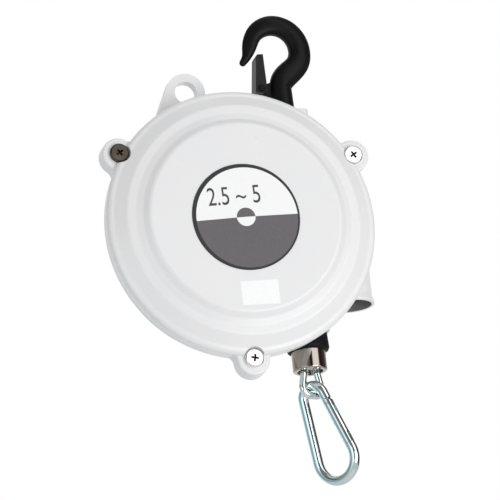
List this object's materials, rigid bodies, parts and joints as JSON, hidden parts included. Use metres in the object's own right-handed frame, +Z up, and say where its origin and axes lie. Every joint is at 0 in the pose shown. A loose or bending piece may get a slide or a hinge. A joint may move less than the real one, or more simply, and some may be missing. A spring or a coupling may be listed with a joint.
{
  "type": "tool balancer",
  "caption": "Spring balancer: round enamelled case with swivelling safety hook, retracting wire rope, bumper, swivel, bail and snap hook for hanging a hand tool.",
  "frame": {"origin": "seat at the top of the inside of the hook's bowl, where the bar that holds the balancer bears; the rope hangs 2.2 mm to its right", "axes": "+Z up along the rope, -Y out of the dial face, +X towards the side with the rope and the adjuster port"},
  "size_m": [0.1529, 0.0849, 0.2663],
  "materials": {
    "white_enamel": "baked white enamel, semi-gloss",
    "printed_aluminium": "printed plate, satin",
    "bright_screw": "bright plated",
    "black_screw": "black oxide",
    "black_forging": "black paint, satin",
    "black_latch": "black coated sheet",
    "zinc_steel": "zinc plated",
    "bright_zinc": "bright blue zinc plated",
    "nickel_plate": "nickel plated, polished",
    "spring_steel": "blued spring steel",
    "turned_steel": "turned",
    "bronze": "sintered bronze",
    "cast_aluminium": "die cast",
    "cast_wheel": "die cast, machined teeth",
    "black_nylon": "moulded",
    "wire_rope": "galvanised strands",
    "bumper_rubber": "moulded rubber"
  },
  "bodies": {
    "top_hook": {"top_hook": "black_forging", "hook_washer": "zinc_steel", "hook_nut": "zinc_steel", "hook_split_pin": "zinc_steel", "latch_pin": "black_forging"},
    "latch": {"hook_latch": "black_latch", "latch_spring": "spring_steel"},
    "housing": {"rear_housing": "white_enamel", "front_cover": "white_enamel", "dial_plate": "printed_aluminium", "cover_screws": "bright_screw", "cover_screw_black": "black_screw", "main_shaft": "turned_steel", "shaft_circlips": "spring_steel", "shaft_washer": "zinc_steel", "shaft_nut": "zinc_steel", "hook_bush": "bronze", "rope_guide": "black_nylon", "worm_bush": "bronze"},
    "spring_case": {"spring_case": "cast_wheel", "case_bush": "bronze", "case_lid": "zinc_steel", "lid_screws": "zinc_steel", "mainspring": "spring_steel"},
    "worm": {"adjusting_worm": "turned_steel"},
    "drum": {"rope_drum": "cast_aluminium", "drum_bushes": "bronze", "rope_winding": "wire_rope"},
    "rope_end": {"rope_line": "wire_rope", "rubber_bumper": "bumper_rubber", "swivel_collar": "nickel_plate", "rope_ferrule": "cast_aluminium"},
    "bail": {"swivel_spindle": "turned_steel", "wire_bail": "bright_zinc"},
    "snap_hook": {"snap_hook": "bright_zinc", "gate_pin": "bright_zinc"},
    "gate": {"snap_gate": "bright_zinc"}
  },
  "joints": [
    {"name": "hook_swivel", "type": "hinge", "parent": "top_hook", "child": "housing", "pos_m": [0.0022, 0, 0], "axis": [0, 0, 1], "continuous": true},
    {"name": "latch_pivot", "type": "hinge", "parent": "top_hook", "child": "latch", "pos_m": [-0.0093, 0, -0.0313], "axis": [0, 1, 0], "range_deg": [0, 33], "stiffness_Nm_per_rad": 0.01, "springref_deg": -34.38},
    {"name": "drum_spin", "type": "hinge", "parent": "housing", "child": "drum", "pos_m": [-0.0342, 0, -0.1133], "axis": [0, 1, 0], "range_deg": [0, 2046], "stiffness_Nm_per_rad": 0.01, "springref_deg": -7448.45},
    {"name": "rope_travel", "type": "slide", "parent": "housing", "child": "rope_end", "axis": [0, 0, -1], "range_m": [0, 1.3], "deforming": ["rope_line"]},
    {"name": "case_turn", "type": "hinge", "parent": "housing", "child": "spring_case", "pos_m": [-0.0342, 0, -0.1133], "axis": [0, 1, 0], "range_deg": [0, 360]},
    {"name": "worm_turn", "type": "hinge", "parent": "housing", "child": "worm", "pos_m": [0.0308, 0.0087, -0.1133], "axis": [0, 0, 1], "range_deg": [0, 20520]},
    {"name": "bail_swivel", "type": "hinge", "parent": "rope_end", "child": "bail", "pos_m": [0.0022, 0, -0.1803], "axis": [0, 0, 1], "continuous": true},
    {"name": "snap_swing", "type": "hinge", "parent": "bail", "child": "snap_hook", "pos_m": [0.00263, -0.00003, -0.20635], "axis": [0.765, 0.6159, 0.1882], "range_deg": [-45, 75]},
    {"name": "gate_pivot", "type": "hinge", "parent": "snap_hook", "child": "gate", "pos_m": [0.00904, -0.00646, -0.21135], "axis": [0.765, 0.6159, 0.1882], "range_deg": [0, 24], "stiffness_Nm_per_rad": 0.01, "springref_deg": -34.38}
  ],
  "couplings": [
    {"joint": "rope_travel", "follows": "drum_spin", "m_per_rad": 0.0364},
    {"joint": "worm_turn", "follows": "case_turn", "ratio": 57}
  ]
}
